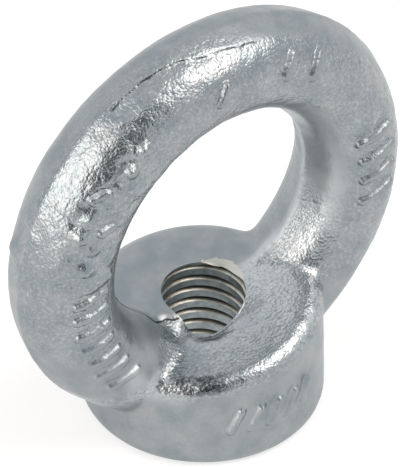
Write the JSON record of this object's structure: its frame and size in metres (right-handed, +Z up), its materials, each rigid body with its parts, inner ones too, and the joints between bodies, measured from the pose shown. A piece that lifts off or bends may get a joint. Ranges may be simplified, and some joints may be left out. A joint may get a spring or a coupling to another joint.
{
  "type": "lifting eye nut",
  "caption": "Forged lifting eye nut: a ring grown onto a round collar with a threaded hole, screwed on a stud to give a lifting point.",
  "frame": {"origin": "centre of the seat, the turned face the nut stands on", "axes": "+Z up the thread towards the ring, +Y through the eye, +X across the ring in its own plane"},
  "size_m": [0.0544, 0.0294, 0.055],
  "materials": {
    "zinc_plated_steel": "zinc plating over a drop-forged surface"
  },
  "bodies": {
    "root": {"lifting_eye_nut": "zinc_plated_steel"}
  },
  "joints": []
}
